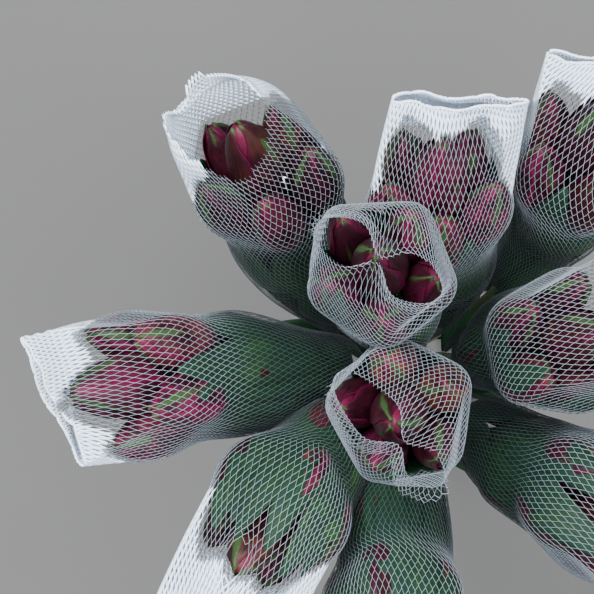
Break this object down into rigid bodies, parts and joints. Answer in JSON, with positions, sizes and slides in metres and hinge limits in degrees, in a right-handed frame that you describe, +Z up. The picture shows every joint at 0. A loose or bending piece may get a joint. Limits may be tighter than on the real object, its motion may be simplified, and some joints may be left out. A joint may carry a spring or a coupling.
{
  "type": "bunch of cut alstroemeria stems",
  "caption": "Bunch of cut alstroemeria stems in tight bud, each head held in a knitted net sleeve, bound by a rubber band and standing on its cut ends.",
  "frame": {"origin": "the middle of the cut end of stem_5, which stands on the surface", "axes": "+Z up along the bunch; +X and +Y level, with the highest heads leaning a little towards -X"},
  "size_m": [0.2887, 0.2907, 0.5771],
  "materials": {
    "stem": "smooth fresh green stem, faintly ribbed along its length",
    "pedicel": "thin green flower stalk with a reddish flush",
    "bud_burgundy": "satin dark burgundy tepals with magenta edges and a green midrib",
    "bud_magenta": "satin magenta tepals with a green midrib and orange flush",
    "bud_sunset": "satin orange, yellow and magenta tepals with green tips",
    "bud_lime": "satin yellow-green tepals flushed red along their edges",
    "leaf": "soft dark green leaf with fine parallel veins",
    "net": "white knitted elastic net with lens-shaped cells",
    "rubber_band": "tan rubber, matte"
  },
  "bodies": {
    "root": {"stem_1": "stem", "stem_2": "stem", "stem_3": "stem", "stem_4": "stem", "stem_5": "stem", "stem_6": "stem", "stem_7": "stem", "stem_8": "stem", "stem_9": "stem", "stem_10": "stem", "pedicels_1": "pedicel", "pedicels_2": "pedicel", "pedicels_3": "pedicel", "pedicels_4": "pedicel", "pedicels_5": "pedicel", "pedicels_6": "pedicel", "pedicels_7": "pedicel", "pedicels_8": "pedicel", "pedicels_9": "pedicel", "pedicels_10": "pedicel", "buds_1": "bud_burgundy", "buds_2": "bud_burgundy", "buds_3": "bud_burgundy", "buds_4": "bud_burgundy", "buds_5": "bud_sunset", "buds_6": "bud_burgundy", "buds_7": "bud_magenta", "buds_8": "bud_lime", "buds_9": "bud_lime", "buds_10": "bud_burgundy", "leaves_1": "leaf", "leaves_2": "leaf", "leaves_3": "leaf", "leaves_4": "leaf", "leaves_5": "leaf", "leaves_6": "leaf", "leaves_7": "leaf", "leaves_8": "leaf", "leaves_9": "leaf", "leaves_10": "leaf", "net_sleeve_1": "net", "net_sleeve_2": "net", "net_sleeve_3": "net", "net_sleeve_4": "net", "net_sleeve_5": "net", "net_sleeve_6": "net", "net_sleeve_7": "net", "net_sleeve_8": "net", "net_sleeve_9": "net", "net_sleeve_10": "net", "rubber_band": "rubber_band"}
  },
  "joints": []
}
